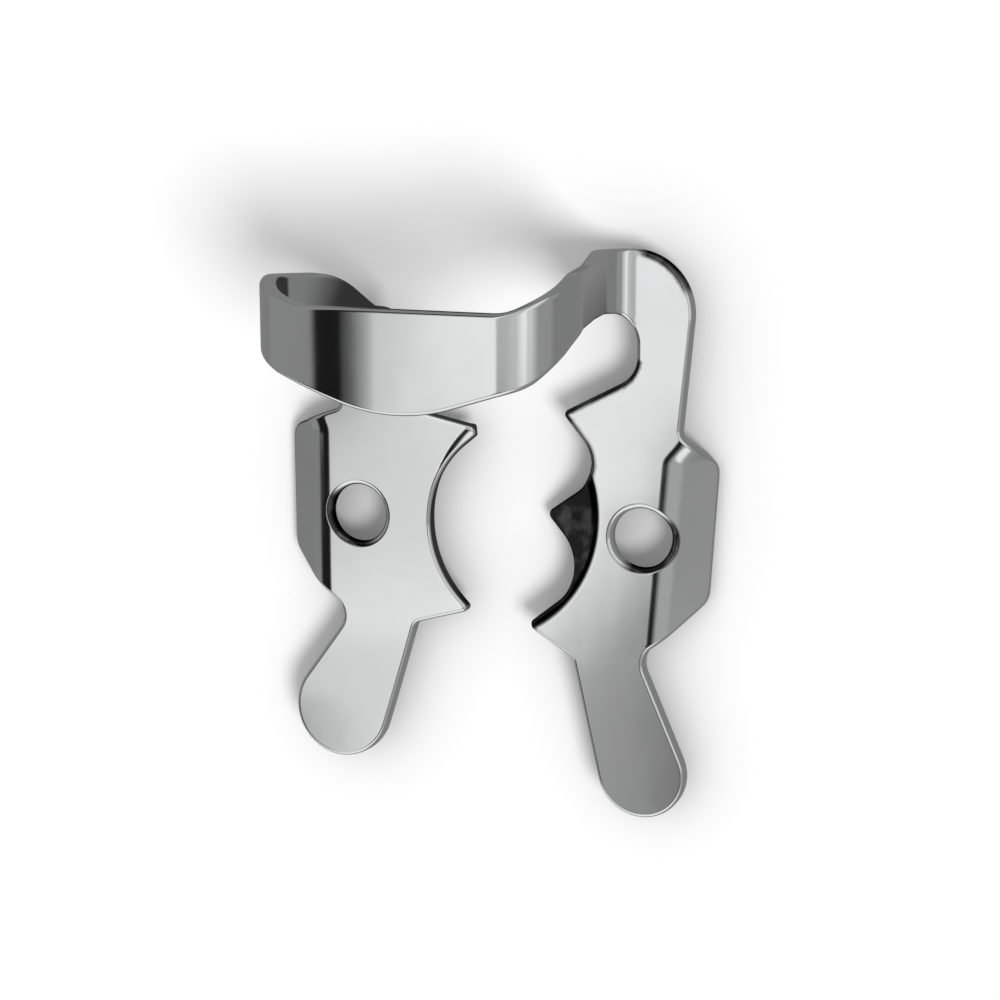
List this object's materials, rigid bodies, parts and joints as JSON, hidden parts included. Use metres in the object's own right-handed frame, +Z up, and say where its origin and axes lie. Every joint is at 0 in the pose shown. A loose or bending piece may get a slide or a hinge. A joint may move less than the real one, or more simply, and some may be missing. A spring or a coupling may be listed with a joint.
{
  "type": "rubber dam clamp",
  "caption": "Winged rubber dam clamp of polished spring steel: a bow joins a serrated jaw and a smooth jaw, with forceps holes, wings and tabs.",
  "frame": {"origin": "under the middle of the clamp's bounding box, at table height, with the clamp lying on the lower edges of both wings", "axes": "+X towards the serrated jaw's side, +Y distal towards the bow, +Z up"},
  "size_m": [0.023, 0.0284, 0.0144],
  "materials": {
    "polished_steel": "mirror-polished stainless spring steel"
  },
  "bodies": {
    "root": {"clamp_body": "polished_steel"}
  },
  "joints": []
}
